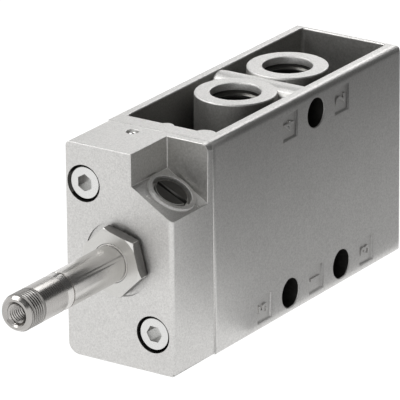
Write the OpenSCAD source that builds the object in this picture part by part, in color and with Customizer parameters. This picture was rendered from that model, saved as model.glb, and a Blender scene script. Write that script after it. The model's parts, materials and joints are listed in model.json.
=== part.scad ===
// Pilot-operated 5/2-way spool valve: one solenoid, spring return, five threaded ports.
// +X runs along the spool towards the rear, +Z is up, the labelled side faces -Y.
// The origin is the centre of the supply port's mouth on the bottom face.

/* [Valve body] */
// Width of the body across the labelled and plain sides
body_w = 32; // [30.6:0.2:38]
// Height of the body
body_h = 57; // [56:0.5:66]
// How far the bore's axis stands off the middle of the width, towards the plain side
axis_shift = 0.6; // [0:0.1:0.8]
// Distance along the valve from one port's axis to the next
chamber_pitch = 12.25; // [12.2:0.05:15]
// Radius of the long edge between the top and the labelled side
edge_top_r = 2; // [0.5:0.1:3]
// Radius of the long edge between the bottom and the labelled side
edge_low_r = 0.5; // [0.3:0.1:3]
// Radius of the long edge between the bottom and the plain side
edge_far_r = 3.5; // [0.5:0.1:4.5]
// Radius of the edges round the rear face
rear_edge_r = 1; // [0.5:0.1:2]

/* [Top pocket] */
// Depth of the cast pocket round the top ports
pocket_deep = 21; // [16:0.5:22]
// Wall left between the pocket and the plain side
wall_plain = 2.3; // [1.5:0.1:3]
// Wall left between the pocket and the labelled side
wall_label = 3.95; // [3:0.05:4.5]
// Wall left between the pocket and the rear
wall_rear = 1.8; // [1.5:0.1:4]
// Wall left between the pocket and the joint with the pilot head
wall_front = 5.2; // [4:0.1:6]
// Radius in the pocket's upright corners
pocket_corner_r = 1; // [0.5:0.1:2]
// Thickness of the cast wall round the main bore
bore_wall = 2.2; // [1.5:0.1:3]

/* [Ports and mounting holes] */
// Outside diameter of the ports' internal pipe thread
port_d = 13.16; // [12:0.02:13.4]
// Depth of that thread
port_deep = 12; // [9:0.5:13]
// Drilling from a port's thread into the main bore
port_drill_d = 9; // [6:0.5:9.5]
// Diameter of the cast boss round each top port
boss_d = 21.4; // [18:0.2:22]
// Diameter of the three mounting holes through the width
mount_d = 7.8; // [5.5:0.1:8]
// Height of the two lower mounting holes above the bottom
mount_low = 5.2; // [5.1:0.1:6]
// Distance of the upper mounting hole below the top
mount_drop = 6.3; // [6.3:0.1:7.5]
// Wall of the cross tube that carries the upper mounting hole through the pocket
mount_wall = 2; // [1.2:0.1:2.2]
// Chamfer at the mouths of ports and mounting holes
mouth_chamfer = 0.3; // [0.1:0.05:0.4]
// Width of the recessed label field beside each port
label_w = 6.3; // [5:0.1:7]
// Height of a label field
label_h = 6.8; // [5:0.1:7.2]
// Depth of a label field
label_deep = 0.6; // [0.2:0.05:0.8]

/* [Main bore and spool stack] */
// Distance from the side to the main bore that holds the seals and spacers, before the shift
bore_side = 5; // [4.7:0.1:5.5]
// Radial width of the seals, from the main bore in to the spool
seal_deep = 5; // [4.7:0.1:5.2]
// Depth of the spool's waists
waist_deep = 2.4; // [1.9:0.1:2.6]
// Travel of the spool
spool_stroke = 4; // [3:0.1:4.2]
// Width of one seal of the stack
seal_w = 2.4; // [2:0.1:3]
// Length of the guide bush at the pilot end of the stack
front_bush_w = 5.5; // [4:0.1:8]
// Length of the guide bush at the spring end of the stack
rear_bush_w = 4.8; // [4.6:0.1:8]
// Thickness of the rear plug
plug_w = 3.2; // [2.8:0.1:6]
// Thickness of the retaining ring
ring_w = 1.1; // [0.8:0.1:1.5]
// Distance from the retaining ring to the rear face
ring_edge = 0.6; // [0.4:0.1:1.5]
// Wire diameter of the return spring
spring_wire = 0.9; // [0.5:0.1:1.1]
// Turns of the return spring
spring_turns = 6; // [4:1:7]

/* [Pilot piston] */
// How much smaller the piston's bore is than the main bore, on the radius
piston_step = 1; // [0.7:0.1:2]
// Depth of the piston's bore
piston_bore_len = 10; // [9.8:0.1:14]
// Thickness of the piston's disc
piston_w = 4; // [3.4:0.1:4.4]

/* [Pilot head] */
// Length of the pilot head along the valve
head_len = 18.5; // [18.2:0.1:24]
// How far the head's labelled side stands in from the body's
head_step = 0.35; // [0.2:0.05:1]
// How far the head's plain side stands out from the body's
head_out = 0.4; // [0:0.1:0.8]
// How far the head's bottom stands in from the body's
head_lift = 0.1; // [0:0.05:1]
// Radius of the head's upright front edge on the labelled side
head_edge_r = 1.1; // [0.5:0.1:2]
// Radius of the head's long edge between the top and the plain side
head_top_r = 1.6; // [0.3:0.1:2]
// Distance from the valve's axis to the inner wall of the override notch
notch_wall = 4.1; // [3.4:0.1:4.6]
// Thickness of the plate left between the notch and the joint
notch_plate = 2.4; // [2:0.1:3]
// Thickness of the flat gasket in the joint
gasket_w = 0.8; // [0.5:0.1:1]
// Diameter of the pressed ball that closes the signal drilling
ball_d = 3.2; // [2.6:0.1:3.6]

/* [Head screws] */
// Thread diameter of the two socket head cap screws
screw_d = 5; // [4:0.5:5]
// Diameter of a screw's head
screw_head_d = 8.5; // [7:0.1:8.7]
// Height of a screw's head
screw_head_h = 5; // [4:0.1:5]
// Width across the flats of a screw's hexagon socket
socket_af = 4; // [3:0.5:4]
// Length of a screw under its head
screw_len = 25; // [22:0.5:25]
// Distance from each screw's axis to the side, before the shift
screw_in = 5.8; // [5.8:0.1:6.5]
// Distance between the two screws in height
screw_span_z = 36.2; // [34:0.1:37]
// Diameter of the counterbores
counterbore_d = 9.8; // [9:0.1:10]
// Depth of the counterbores
counterbore_deep = 5.5; // [5.1:0.1:7]

/* [Armature tube] */
// Outside diameter of the armature tube
tube_d = 9.7; // [9:0.1:10]
// Wall of the armature tube
tube_wall = 0.65; // [0.5:0.05:0.8]
// How far the tube and its pole piece stand out of the head
tube_proud = 44.2; // [40:0.1:52]
// Length of the coil nut's thread at the outer end
thread_len = 6.5; // [5:0.1:9]
// Outside diameter of that thread
thread_d = 9.3; // [8.8:0.1:9.3]
// Length of the pole piece's plain part outside the tube
pole_len = 9.4; // [6:0.1:11]
// Length of the pole piece inside the tube
pole_plug_len = 9.8; // [7:0.1:12]
// Outside diameter of the exhaust thread in the pole piece
exhaust_d = 5; // [4:0.5:5]
// Depth of the exhaust thread
exhaust_deep = 8; // [6:0.5:9]
// Width across the flats of the tube nut
nut_af = 16; // [15:0.5:16]
// How far the tube nut stands out of the head
nut_h = 3.5; // [2.5:0.1:5]
// Diameter of the tube nut's thread in the head
nut_thread_d = 14; // [13.6:0.1:14.4]
// Length of that thread
nut_thread_len = 2.8; // [2.6:0.1:2.8]
// Diameter of the spot face under the tube nut
spot_d = 19.5; // [19:0.1:20.4]
// Depth of the spot face
spot_deep = 0.4; // [0.2:0.05:0.6]

/* [Armature] */
// Travel of the armature
armature_stroke = 1; // [0.6:0.1:1.2]
// Diameter of the armature's stem past the override cam
stem_d = 4; // [3:0.1:4.2]
// Bore of the pilot seat
seat_bore = 1; // [0.6:0.1:1.4]
// Wire diameter of the armature spring
light_wire = 0.45; // [0.3:0.05:0.5]
// Turns of the armature spring
light_turns = 4; // [3:1:6]

/* [Manual override] */
// Tilt of the override's axis from upright, about the armature's axis
override_tilt = 30.5; // [28:0.5:33]
// Distance from the armature's axis to the override's sloped face
override_reach = 19.35; // [19:0.05:20]
// Distance from the joint to the override's axis
override_back = 9.2; // [8.8:0.05:9.2]
// Diameter of the slotted head
override_d = 9; // [8:0.1:9.8]
// Diameter of the recess round the slotted head
recess_d = 10.8; // [10.4:0.1:11.6]
// Diameter of the raised ring round the recess
collar_d = 13; // [12.6:0.1:13.2]
// Height of that ring
collar_h = 0.75; // [0.4:0.05:1]
// Thickness of the slotted head
override_head_w = 2; // [1.6:0.1:2.2]
// Width of the screwdriver slot
slot_w = 1.5; // [0.8:0.1:1.8]
// Depth of the screwdriver slot
slot_deep = 1.1; // [0.6:0.1:1.3]
// Angle of the slot off the line down the slope
slot_turn = 9; // [0:1:20]
// Diameter of the override's shank
shank_d = 7; // [6.4:0.1:7.2]

/* [Hidden] */
$fn = 64;

// Running clearance between a sliding piece and its bore, on the radius
running_gap = 0.05;
// Clearance between faces of pieces that are fitted together and stay put
seat_gap = 0.02;
// Clearance of parts that pass each other without a fit
free_gap = 0.3;
// How far cutting shapes run past the faces they cut
over = 1;

axis_z = body_h / 2;
bore_d = body_w - 2 * bore_side;
bore_r = bore_d / 2;
y_plain = body_w / 2 - axis_shift;
y_label = -body_w / 2 - axis_shift;

// Places along the valve, from the supply port at 0
stack_half = 2.5 * chamber_pitch + seal_w / 2;
x_stack_front = -stack_half - front_bush_w;
x_joint = x_stack_front - piston_bore_len;
x_front = x_joint - head_len;
x_stack_rear = stack_half + rear_bush_w;
x_plug_rear = x_stack_rear + plug_w;
x_rear = x_plug_rear + ring_w + ring_edge;
body_len = x_rear - x_joint;
top_ports = [-chamber_pitch, chamber_pitch];
bottom_ports = [-2 * chamber_pitch, 0, 2 * chamber_pitch];
pocket_floor = body_h - pocket_deep;
pocket_x0 = x_joint + wall_front;
pocket_x1 = x_rear - wall_rear;
pocket_y0 = y_label + wall_label;
pocket_y1 = y_plain - wall_plain;
upper_mount_z = body_h - mount_drop;
mount_tube_r = mount_d / 2 + mount_wall;
sharp_edge_r = 0.3;
front_edge_r = 1;
plain_edge_r = 0.6;
boss_draft = 0.25;
screw_tap_deep = 14;
screw_boss_r = 4.2;
screw_boss_end = 1.5;
screw_boss_len = screw_tap_deep + screw_boss_end;
duct_d = 1.8;
duct_wall = 1.5;
duct_y = -(bore_r + duct_wall + duct_d / 2);
duct_mouth_r = duct_d / 2 + running_gap;
rib_r = 2;
rib_y = 1.2;
rib_drop = 0.4;
corner_boss_r = 3.4;
corner_boss_out = 2.1;
corner_boss_y = 1.6;

// Head screws: one high on the plain side, one low on the labelled side, each with the turn of
// its hexagon socket
screw_y = body_w / 2 - screw_in;
screw_places = [[screw_y, axis_z + screw_span_z / 2, 0], [-screw_y, axis_z - screw_span_z / 2, 30]];

// Gasket outline: set in from the head's sides, with a little more room in its seat
gasket_inset = 0.8;
gasket_margin = 0.2;
gasket_corner_r = 2;

// Tube, nut and armature along the head
x_nut_seat = x_front + spot_deep;
x_flange = x_nut_seat + nut_thread_len;
nut_corner = 0.3;
nut_under = 0.4;
flange_w = 1.5;
flange_r = 6.5;
tube_seal_r = 0.5;
x_seal_seat = x_flange + flange_w + 2 * tube_seal_r + seat_gap;
tube_r = tube_d / 2;
tube_bore_r = tube_r - tube_wall;
root_step = 0.25;
root_r = tube_r + root_step;
x_tube_end = x_front - tube_proud;
x_thread = x_tube_end + thread_len;
x_pole = x_thread + pole_len;
x_core = x_pole + pole_plug_len;
crimp_back = 2.3;
crimp_w = 0.4;
crimp_deep = 0.35;
exhaust_mouth = 0.8;
chamber_r = 5.5;
chamber_end = 5;
seat_stand = 6.6;
x_seat = x_joint - seat_stand;
seat_r = 2.5;
seat_floor = 2.2;
seat_cone = 0.8;
armature_r = tube_bore_r - running_gap;
armature_gap = 0.1;
x_nose = x_seat - armature_gap;
x_armature_end = x_core + armature_stroke + armature_gap;
side_groove_w = 1;
side_groove_deep = 0.8;
collar_r = 2.7;
collar_w = 1.3;
nose_seal_r = 2;
nose_seal_w = 1;
top_seal_r = 1.6;
top_seal_w = 1.6;
tip_len = 5;
tip_r = 3.1;
light_spring_r = (tip_r + tube_bore_r) / 2;

// Manual override, measured out from the armature's axis
x_override = x_joint - override_back;
disc_drop = 0.45;
head_top = override_reach + collar_h - disc_drop;
head_under = head_top - override_head_w;
shank_r = shank_d / 2;
shank_end = 6.85;
cam_r = 1.2;
cam_out = 1.3;
cam_tip = 3.1;
cam_bore_r = cam_r + cam_out + free_gap;
cam_floor = 2.6;
shank_bore_end = shank_end - free_gap;
ring_groove = 14.2;
ring_sec_r = 0.55;
groove_play = 0.1;
pin_r = 1;
pin_level = 10.35;
pin_groove_r = 2.6;
pin_play = 0.15;
pin_stand = 0.25;
pin_off = shank_r + pin_stand;
pin_sink = 1.2;
x_shoulder = x_override - cam_r - cam_out - free_gap;

// Signal drilling from the armature's chamber, up to the ball on top
signal_back = 4.2;
signal_x = x_joint - signal_back;
signal_y = 5.1;
signal_rise = 4.5;
signal_z = axis_z + signal_rise;
signal_d = 2.4;
signal_start_z = signal_z - signal_d;
supply_end = 1.2;

// Piston, spool and spring
piston_bore_r = bore_r - piston_step;
piston_r = piston_bore_r - running_gap;
piston_rest_gap = 0.2;
x_piston = x_stack_front - piston_w - spool_stroke - piston_rest_gap;
piston_seal_sec = 0.65;
spool_r = bore_r - seal_deep;
waist_r = spool_r - waist_deep;
piston_boss_in = 2;
piston_boss_r = spool_r - piston_boss_in;
spool_nose = 2;
x_spool = x_stack_front - spool_nose;
spool_end_gap = 0.5;
x_spool_end = x_stack_rear - spool_stroke - spool_end_gap;
spring_pocket_wall = 1.6;
spring_pocket_r = spool_r - spring_pocket_wall;
spring_pocket_len = 11;
x_spring = x_spool_end - spring_pocket_len;
spring_mid_r = spring_pocket_r - free_gap - spring_wire / 2;
ring_groove_deep = 0.7;
ring_groove_r = bore_r + ring_groove_deep;
plug_seal_sec = 0.7;
pull_thread_d = 4.2;
pull_thread_deep = 1.2;

// Puts a shape drawn along Z onto the valve's axis, starting at x and running to the rear
module along_x(x, y = 0, z = axis_z) {
    translate([x, y, z]) rotate([0, 90, 0]) children();
}

// Puts a flat outline drawn in Y and Z at x and pulls it along X
module slab_x(x, len) {
    translate([x, 0, 0]) rotate([90, 0, 90]) linear_extrude(len) children();
}

// Places a shape on the override's axis, with its Z pointing out of the sloped face
module on_override() {
    translate([x_override, 0, axis_z]) rotate([override_tilt, 0, 0]) children();
}

// Plain ring about the valve's axis
module ring_x(x, len, r_out, r_in) {
    along_x(x) difference() {
        cylinder(h = len, r = r_out);
        translate([0, 0, -over]) cylinder(h = len + 2 * over, r = r_in);
    }
}

// O-ring about the valve's axis, centred on x
module o_ring_x(x, r_mid, r_sec) {
    along_x(x) rotate_extrude() translate([r_mid, 0]) circle(r_sec, $fn = 32);
}

// Rectangle with its own radius at each corner: low-low, high-low, high-high, low-high
module rounded_outline(a0, b0, a1, b1, r) {
    polygon([[a0 + r[0], b0], [a1 - r[1], b0], [a1, b0 + r[1]], [a1, b1 - r[2]],
        [a1 - r[2], b1], [a0 + r[3], b1], [a0, b1 - r[3]], [a0, b0 + r[0]]]);
    translate([a0 + r[0], b0 + r[0]]) circle(r[0]);
    translate([a1 - r[1], b0 + r[1]]) circle(r[1]);
    translate([a1 - r[2], b1 - r[2]]) circle(r[2]);
    translate([a0 + r[3], b1 - r[3]]) circle(r[3]);
}

// Block up to the body's top, rounded as seen from the front, from above and from the side
module cast_block(x0, x1, y0, y1, z0, section_r, plan_r, side_r) {
    intersection() {
        slab_x(x0, x1 - x0) rounded_outline(y0, z0, y1, body_h, section_r);
        translate([0, 0, z0 - over]) linear_extrude(body_h - z0 + 2 * over)
            rounded_outline(x0, y0, x1, y1, plan_r);
        translate([0, y1 + over, 0]) rotate([90, 0, 0]) linear_extrude(y1 - y0 + 2 * over)
            rounded_outline(x0, z0, x1, body_h, side_r);
    }
}

// Threaded port cut downwards from its mouth at the origin, at the thread's outside diameter
module port_cut(drill_len) {
    translate([0, 0, -port_deep]) cylinder(h = port_deep + over, d = port_d);
    translate([0, 0, -mouth_chamfer])
        cylinder(h = 2 * mouth_chamfer, d1 = port_d, d2 = port_d + 4 * mouth_chamfer);
    translate([0, 0, -drill_len]) cylinder(h = drill_len, d = port_drill_d);
}

// Mounting hole across the width, with both mouths chamfered
module mount_cut(x, z) {
    translate([x, y_label - over, z]) rotate([-90, 0, 0])
        cylinder(h = body_w + 2 * over, d = mount_d);
    for (side = [0, 1])
        translate([x, side ? y_plain : y_label, z]) rotate([side ? -90 : 90, 0, 0])
            translate([0, 0, -mouth_chamfer])
                cylinder(h = 2 * mouth_chamfer, d1 = mount_d, d2 = mount_d + 4 * mouth_chamfer);
}

// Recessed field that frames a port's label on the labelled side
module label_cut(x, z) {
    translate([x - label_w / 2, y_label - over, z - label_h / 2])
        cube([label_w, label_deep + over, label_h]);
}

// Cast pocket in the top, with rounded upright corners
module pocket_cut() {
    corners = [for (i = [0:3]) pocket_corner_r];
    translate([0, 0, pocket_floor]) linear_extrude(pocket_deep + over)
        rounded_outline(pocket_x0, pocket_y0, pocket_x1, pocket_y1, corners);
}

// What stands in the pocket: the bore's crown, port bosses, cross tube, ribs and screw boss
module pocket_cores() {
    along_x(x_joint + front_edge_r) cylinder(h = body_len - 2 * front_edge_r, r = bore_r + bore_wall);
    for (x = top_ports)
        translate([x, 0, axis_z])
            cylinder(h = body_h - axis_z, d1 = boss_d + 2 * boss_draft, d2 = boss_d);
    translate([0, pocket_y0 - over, upper_mount_z]) rotate([-90, 0, 0])
        cylinder(h = pocket_y1 - pocket_y0 + 2 * over, r = mount_tube_r);
    translate([pocket_x0, rib_y, axis_z]) cylinder(h = body_h - axis_z - rib_drop, r = rib_r);
    translate([pocket_x0 - corner_boss_r + corner_boss_out, pocket_y0 + corner_boss_y, axis_z])
        cylinder(h = body_h - axis_z, r = corner_boss_r);
    along_x(x_joint + front_edge_r, screw_places[0][0], screw_places[0][1])
        cylinder(h = screw_boss_len, r = screw_boss_r);
}

module valve_body() color("silver") {
    difference() {
        union() {
            difference() {
                cast_block(x_joint, x_rear, y_label, y_plain, 0,
                    [edge_low_r, edge_far_r, sharp_edge_r, edge_top_r],
                    [front_edge_r, rear_edge_r, rear_edge_r, sharp_edge_r],
                    [sharp_edge_r, rear_edge_r, rear_edge_r, sharp_edge_r]);
                pocket_cut();
            }
            intersection() {
                pocket_cores();
                translate([x_joint, y_label + edge_top_r, axis_z])
                    cube([body_len, body_w - edge_top_r - sharp_edge_r, body_h - axis_z]);
            }
        }
        along_x(x_joint - over) cylinder(h = piston_bore_len + over, r = piston_bore_r);
        along_x(x_stack_front) cylinder(h = body_len, d = bore_d);
        along_x(x_plug_rear) cylinder(h = ring_w, r = ring_groove_r);
        for (x = top_ports) translate([x, 0, body_h]) port_cut(body_h - axis_z - bore_r / 2);
        for (x = bottom_ports) mirror([0, 0, 1]) translate([x, 0, 0]) port_cut(axis_z - bore_r / 2);
        mount_cut(0, upper_mount_z);
        for (x = top_ports) {
            mount_cut(x, mount_low);
            label_cut(x, upper_mount_z);
        }
        for (x = bottom_ports) label_cut(x, mount_low);
        for (p = screw_places)
            along_x(x_joint - over, p[0], p[1]) cylinder(h = screw_tap_deep + over, d = screw_d);
        along_x(x_joint - over, duct_y) cylinder(h = -x_joint + over + duct_d, d = duct_d);
        translate([0, duct_y, axis_z]) rotate([-90, 0, 0])
            cylinder(h = bore_r + bore_wall, d = duct_d);
    }
}

// Notch in the head's top corner, with a floor square to the override's axis
module notch_cut() {
    y_out = y_label - over;
    intersection() {
        translate([x_front - over, y_out, axis_z])
            cube([head_len - notch_plate + over, -notch_wall - y_out, body_h]);
        on_override() translate([-head_len, -body_w, override_reach])
            cube([2 * head_len, 2 * body_w, body_h]);
    }
}

// Recess, shank bore and cam bore for the override
module override_cut() {
    on_override() {
        translate([0, 0, head_under - seat_gap]) cylinder(h = override_reach, d = recess_d);
        translate([0, 0, shank_bore_end])
            cylinder(h = override_reach - shank_end, r = shank_r + running_gap);
        translate([0, 0, cam_floor]) cylinder(h = override_reach / 2, r = cam_bore_r);
    }
}

// Drillings: supply to the pilot seat, signal down from the top, signal to the piston
module head_drillings() {
    supply_run = [seat_floor + supply_end, -duct_y];
    translate([x_joint + over / 2, duct_y, axis_z])
        rotate([0, 0, atan2(supply_run[1], -supply_run[0] - over / 2)]) rotate([0, 90, 0])
            cylinder(h = norm(supply_run), d = duct_d / 2);
    translate([signal_x, signal_y, signal_start_z]) cylinder(h = body_h, d = signal_d);
    translate([signal_x, signal_y, body_h - ball_d]) cylinder(h = body_h, d = ball_d);
    along_x(signal_x, signal_y, signal_z) cylinder(h = head_len, d = signal_d);
}

module pilot_head() color("silver") {
    difference() {
        union() {
            difference() {
                cast_block(x_front, x_joint, y_label + head_step, y_plain + head_out, head_lift,
                    [edge_low_r, edge_far_r, head_top_r, edge_top_r],
                    [head_edge_r, sharp_edge_r, sharp_edge_r, plain_edge_r],
                    [sharp_edge_r, sharp_edge_r, sharp_edge_r, sharp_edge_r]);
                notch_cut();
            }
            intersection() {
                on_override() translate([0, 0, shank_end])
                    cylinder(h = override_reach - shank_end + collar_h, d = collar_d);
                translate([x_front + over, y_label + head_step + sharp_edge_r, axis_z + shank_end])
                    cube([head_len - 2 * over, body_w / 2, body_h / 2 - shank_end - edge_top_r]);
            }
        }
        override_cut();
        head_drillings();
        along_x(x_front - over) cylinder(h = spot_deep + over, d = spot_d);
        along_x(x_front) cylinder(h = x_flange - x_front, d = nut_thread_d);
        along_x(x_flange - seat_gap)
            cylinder(h = x_seal_seat - x_flange + seat_gap, r = flange_r + 2 * running_gap);
        along_x(x_front) cylinder(h = head_len - chamber_end, r = chamber_r);
        along_x(x_seat) cylinder(h = x_joint - seat_floor - x_seat, r = seat_r);
        for (p = screw_places) {
            along_x(x_front - over, p[0], p[1]) cylinder(h = counterbore_deep + over, d = counterbore_d);
            along_x(x_front, p[0], p[1]) cylinder(h = head_len + over, d = screw_d + 2 * free_gap);
        }
        gasket_shape(gasket_w + over, gasket_margin, true);
        on_override() translate([-head_len, pin_off, pin_level]) rotate([0, 90, 0])
            translate([0, 0, head_len - shank_r - over]) cylinder(h = head_len, r = pin_r);
    }
}

// Flat gasket outline, also used with a margin to cut its seat in the head
module gasket_shape(w, margin, solid) {
    inset = gasket_inset - margin;
    corners = [for (i = [0:3]) gasket_corner_r];
    x0 = solid ? x_joint - gasket_w : x_joint - gasket_w + seat_gap;
    difference() {
        slab_x(x0, w)
            rounded_outline(y_label + head_step + inset, head_lift + inset,
                y_plain - inset, body_h - inset, corners);
        if (!solid) {
            along_x(x_joint - head_len) cylinder(h = 2 * head_len, r = piston_bore_r + free_gap);
            along_x(x_joint - head_len, duct_y) cylinder(h = 2 * head_len, r = duct_mouth_r);
            for (p = screw_places)
                along_x(x_joint - head_len, p[0], p[1])
                    cylinder(h = 2 * head_len, d = screw_d + 2 * free_gap);
        }
    }
}

module head_gasket() color("dimgray") gasket_shape(gasket_w - 2 * seat_gap, 0, false);

// Socket head cap screw with its head at x, pointing to the rear
module cap_screw(x, y, z, turn) {
    chamfer = screw_d / 10;
    rim = 0.15;
    difference() {
        union() {
            along_x(x, y, z) cylinder(h = rim, d1 = screw_head_d - 2 * rim, d2 = screw_head_d);
            along_x(x + rim, y, z) cylinder(h = screw_head_h - rim, d = screw_head_d);
            along_x(x + screw_head_h, y, z)
                cylinder(h = screw_len - chamfer, r = screw_d / 2 - seat_gap);
            along_x(x + screw_head_h + screw_len - chamfer, y, z)
                cylinder(h = chamfer, r1 = screw_d / 2 - seat_gap, r2 = screw_d / 2 - chamfer);
        }
        along_x(x - over, y, z) rotate(turn)
            cylinder(h = screw_head_h / 2 + over, d = socket_af / cos(30), $fn = 6);
    }
}

module head_screws() color("gainsboro") {
    for (p = screw_places) cap_screw(x_front + counterbore_deep - screw_head_h, p[0], p[1], p[2]);
}

module armature_tube() color("lightsteelblue") {
    difference() {
        union() {
            along_x(x_pole) cylinder(h = x_flange - x_pole, r = tube_r);
            along_x(x_front - nut_h) cylinder(h = x_flange - x_front + nut_h, r = root_r);
            along_x(x_flange) cylinder(h = flange_w, r = flange_r);
        }
        along_x(x_pole - over) cylinder(h = x_flange + flange_w - x_pole + 2 * over, r = tube_bore_r);
        ring_x(x_pole + crimp_back, crimp_w, tube_r + over, tube_r - crimp_deep);
    }
}

module pole_piece() color("lightsteelblue") {
    end_chamfer = 0.6;
    chamfer_len = 0.8;
    difference() {
        union() {
            along_x(x_tube_end) cylinder(h = chamfer_len, d1 = thread_d - 2 * end_chamfer, d2 = thread_d);
            along_x(x_tube_end + chamfer_len) cylinder(h = thread_len, d = thread_d);
            along_x(x_thread) cylinder(h = pole_len - seat_gap, r = tube_r);
            along_x(x_thread) cylinder(h = x_core - x_thread, r = tube_bore_r - seat_gap);
        }
        along_x(x_tube_end - over) cylinder(h = exhaust_deep + over, d = exhaust_d);
        along_x(x_tube_end - over)
            cylinder(h = exhaust_mouth + over, r1 = exhaust_d / 2 + exhaust_mouth + over, d2 = exhaust_d);
        along_x(x_tube_end) cylinder(h = x_core - x_tube_end + over, d = 2 * seat_bore);
    }
}

module tube_nut() color("lightgray") {
    hex_r = nut_af / 2 / cos(30);
    face_r = nut_af / 2 + nut_corner;
    cone_r = hex_r + over;
    cone_len = (cone_r - face_r) * tan(30);
    under_r = nut_af / 2 - nut_under;
    under_len = (cone_r - under_r) * tan(30);
    hex_len = nut_h + spot_deep;
    difference() {
        union() {
            intersection() {
                slab_x(x_front - nut_h, hex_len)
                    translate([0, axis_z]) rotate(15) circle(hex_r, $fn = 6);
                union() {
                    along_x(x_front - nut_h) cylinder(h = cone_len, r1 = face_r, r2 = cone_r);
                    along_x(x_front - nut_h + cone_len)
                        cylinder(h = hex_len - cone_len - under_len, r = cone_r);
                    along_x(x_nut_seat - under_len) cylinder(h = under_len, r1 = cone_r, r2 = under_r);
                }
            }
            along_x(x_front - nut_h + over)
                cylinder(h = x_flange - seat_gap - x_front + nut_h - over, r = nut_thread_d / 2 - seat_gap);
        }
        along_x(x_front - nut_h - over)
            cylinder(h = hex_len + nut_thread_len + 2 * over, r = root_r + 2 * running_gap);
    }
}

module tube_seal() color("black") {
    o_ring_x(x_seal_seat - tube_seal_r - seat_gap / 2, flange_r - tube_seal_r, tube_seal_r);
}

module armature() color("gray") {
    difference() {
        union() {
            along_x(x_armature_end) cylinder(h = tip_len + seat_gap, r = tip_r);
            along_x(x_armature_end + tip_len)
                cylinder(h = x_shoulder - x_armature_end - tip_len, r = armature_r);
            along_x(x_shoulder) cylinder(h = x_nose - x_shoulder, d = stem_d);
            along_x(x_nose - collar_w) cylinder(h = collar_w, r = collar_r);
        }
        along_x(x_nose - nose_seal_w) cylinder(h = nose_seal_w + over, r = nose_seal_r);
        along_x(x_armature_end - over) cylinder(h = top_seal_w + over, r = top_seal_r);
        for (turn = [0, 180])
            along_x(x_armature_end + tip_len - over) rotate(turn)
                translate([-side_groove_w / 2, armature_r - side_groove_deep, 0])
                    cube([side_groove_w, over, x_shoulder - x_armature_end - tip_len + 2 * over]);
    }
}

module armature_seals() color("black") {
    along_x(x_nose - nose_seal_w + seat_gap)
        cylinder(h = nose_seal_w - 2 * seat_gap, r = nose_seal_r - seat_gap);
    along_x(x_armature_end + seat_gap) cylinder(h = top_seal_w - 2 * seat_gap, r = top_seal_r - seat_gap);
}

// Height of a coil's wire at a turn: one flat turn at each end, even pitch between
function coil_rise(t, turns, len, wire) =
    t < 1 ? wire / 2 + wire * t
    : t > turns + 1 ? len - wire / 2 - wire * (turns + 2 - t)
    : 1.5 * wire + (len - 3 * wire) * (t - 1) / turns;

// Compression spring along Z, as a wire of sides facets swept round a helix
module coil(len, r_mid, wire, turns, steps, sides) {
    n = (turns + 2) * steps;
    points = [for (i = [0:n], k = [0:sides - 1])
        let (a = 360 * i / steps, b = 360 * k / sides, r = r_mid + wire / 2 * cos(b))
        [r * cos(a), r * sin(a), coil_rise(i / steps, turns, len, wire) + wire / 2 * sin(b)]];
    walls = [for (i = [0:n - 1], k = [0:sides - 1])
        let (a = i * sides, j = (k + 1) % sides)
        [a + k, a + sides + k, a + sides + j, a + j]];
    polyhedron(points, concat(walls, [[for (k = [0:sides - 1]) k],
        [for (k = [0:sides - 1]) n * sides + sides - 1 - k]]), convexity = 10);
}

module armature_spring() color("lightgray") {
    along_x(x_core + seat_gap)
        coil(x_armature_end + tip_len - x_core - 2 * seat_gap, light_spring_r,
            light_wire, light_turns, 16, 6);
}

module pilot_seat() color("goldenrod") {
    difference() {
        union() {
            along_x(x_seat + seat_cone)
                cylinder(h = x_joint - seat_floor - x_seat - seat_cone, r = seat_r - seat_gap);
            along_x(x_seat) cylinder(h = seat_cone, r1 = seat_bore, r2 = seat_r - seat_gap);
        }
        along_x(x_seat - over) cylinder(h = head_len, d = seat_bore);
    }
}

module override_spindle() color("dimgray") {
    on_override() {
        difference() {
            union() {
                translate([0, 0, head_under]) cylinder(h = override_head_w, d = override_d);
                translate([0, 0, shank_end]) cylinder(h = head_under - shank_end, r = shank_r);
            }
            rotate(slot_turn) translate([-slot_w / 2, -override_d, head_top - slot_deep])
                cube([slot_w, 2 * override_d, slot_deep + over]);
            translate([0, 0, ring_groove]) groove(ring_sec_r + groove_play, shank_r - 2 * ring_sec_r);
            translate([0, 0, pin_level]) groove(pin_r + pin_play, pin_groove_r);
        }
        translate([0, -cam_out, cam_tip]) cylinder(h = shank_end - cam_tip + over, r = cam_r);
    }
}

// Ring cut round the shank, half_w to either side, from its surface down to radius r
module groove(half_w, r) {
    difference() {
        cylinder(h = 2 * half_w, r = shank_r + over, center = true);
        cylinder(h = 2 * half_w + over, r = r, center = true);
    }
}

module override_seal() color("black") {
    on_override() translate([0, 0, ring_groove]) rotate_extrude()
        translate([shank_r - ring_sec_r, 0]) circle(ring_sec_r, $fn = 32);
}

module override_pin() color("lightgray") {
    on_override() translate([-shank_r - over + seat_gap, pin_off, pin_level]) rotate([0, 90, 0])
        cylinder(h = override_back + shank_r + over - pin_sink, r = pin_r - seat_gap);
}

module sealing_ball() color("white") {
    translate([signal_x, signal_y, body_h - ball_d / 2 - 0.1]) sphere(r = ball_d / 2 - seat_gap);
}

module pilot_piston() color("whitesmoke") {
    difference() {
        union() {
            along_x(x_piston) cylinder(h = piston_w, r = piston_r);
            along_x(x_piston + piston_w)
                cylinder(h = x_spool - x_piston - piston_w - seat_gap, r = piston_boss_r);
        }
        ring_x(x_piston + piston_w / 2 - piston_seal_sec - groove_play,
            2 * (piston_seal_sec + groove_play), piston_r + over, piston_r - 2 * piston_seal_sec);
    }
}

module piston_seal() color("black") {
    o_ring_x(x_piston + piston_w / 2, piston_r - piston_seal_sec, piston_seal_sec);
}

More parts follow.
